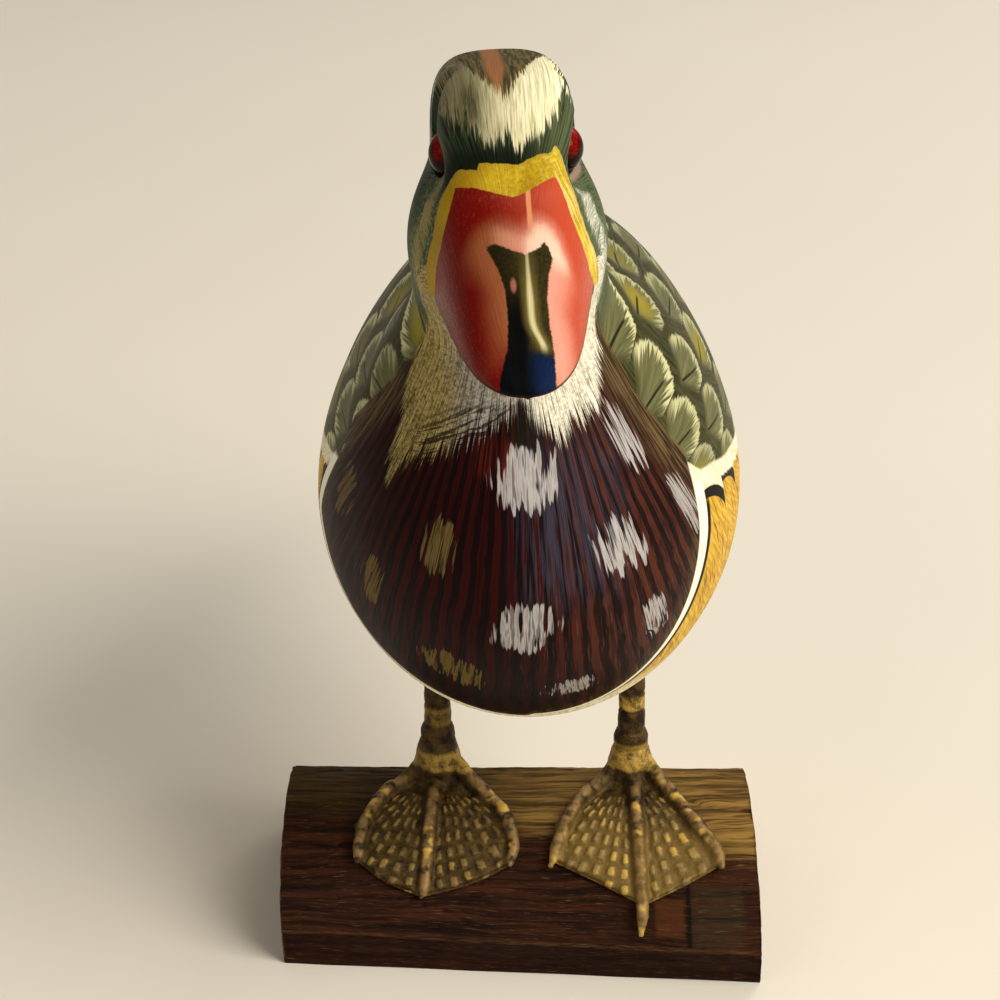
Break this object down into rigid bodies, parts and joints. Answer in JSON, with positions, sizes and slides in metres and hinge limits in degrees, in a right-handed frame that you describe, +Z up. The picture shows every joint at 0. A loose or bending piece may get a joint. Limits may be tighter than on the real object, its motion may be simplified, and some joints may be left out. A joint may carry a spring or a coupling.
{
  "type": "carved duck figure",
  "caption": "Carved and painted wooden duck figure that stands on cast webbed feet on a half-round log base.",
  "frame": {"origin": "centre of the log's flat underside", "axes": "+Z up, the duck's breast and bill face -Y, the duck's left side is +X"},
  "size_m": [0.103, 0.222, 0.2004],
  "materials": {
    "painted_wood": "carved wood with satin brush-painted feathers in burgundy, cream, olive green and gold",
    "eye_glass": "deep red glossy glass eye with a dark pupil",
    "cast_leg": "cast leg and webbed foot, dark brown with gold dry brushing",
    "log_wood": "dark reddish brown stained half-round log, olive tan where it is worn on top"
  },
  "bodies": {
    "root": {"duck": "painted_wood", "eye_left": "eye_glass", "eye_right": "eye_glass", "leg_left": "cast_leg", "leg_right": "cast_leg", "log_base": "log_wood"}
  },
  "joints": []
}
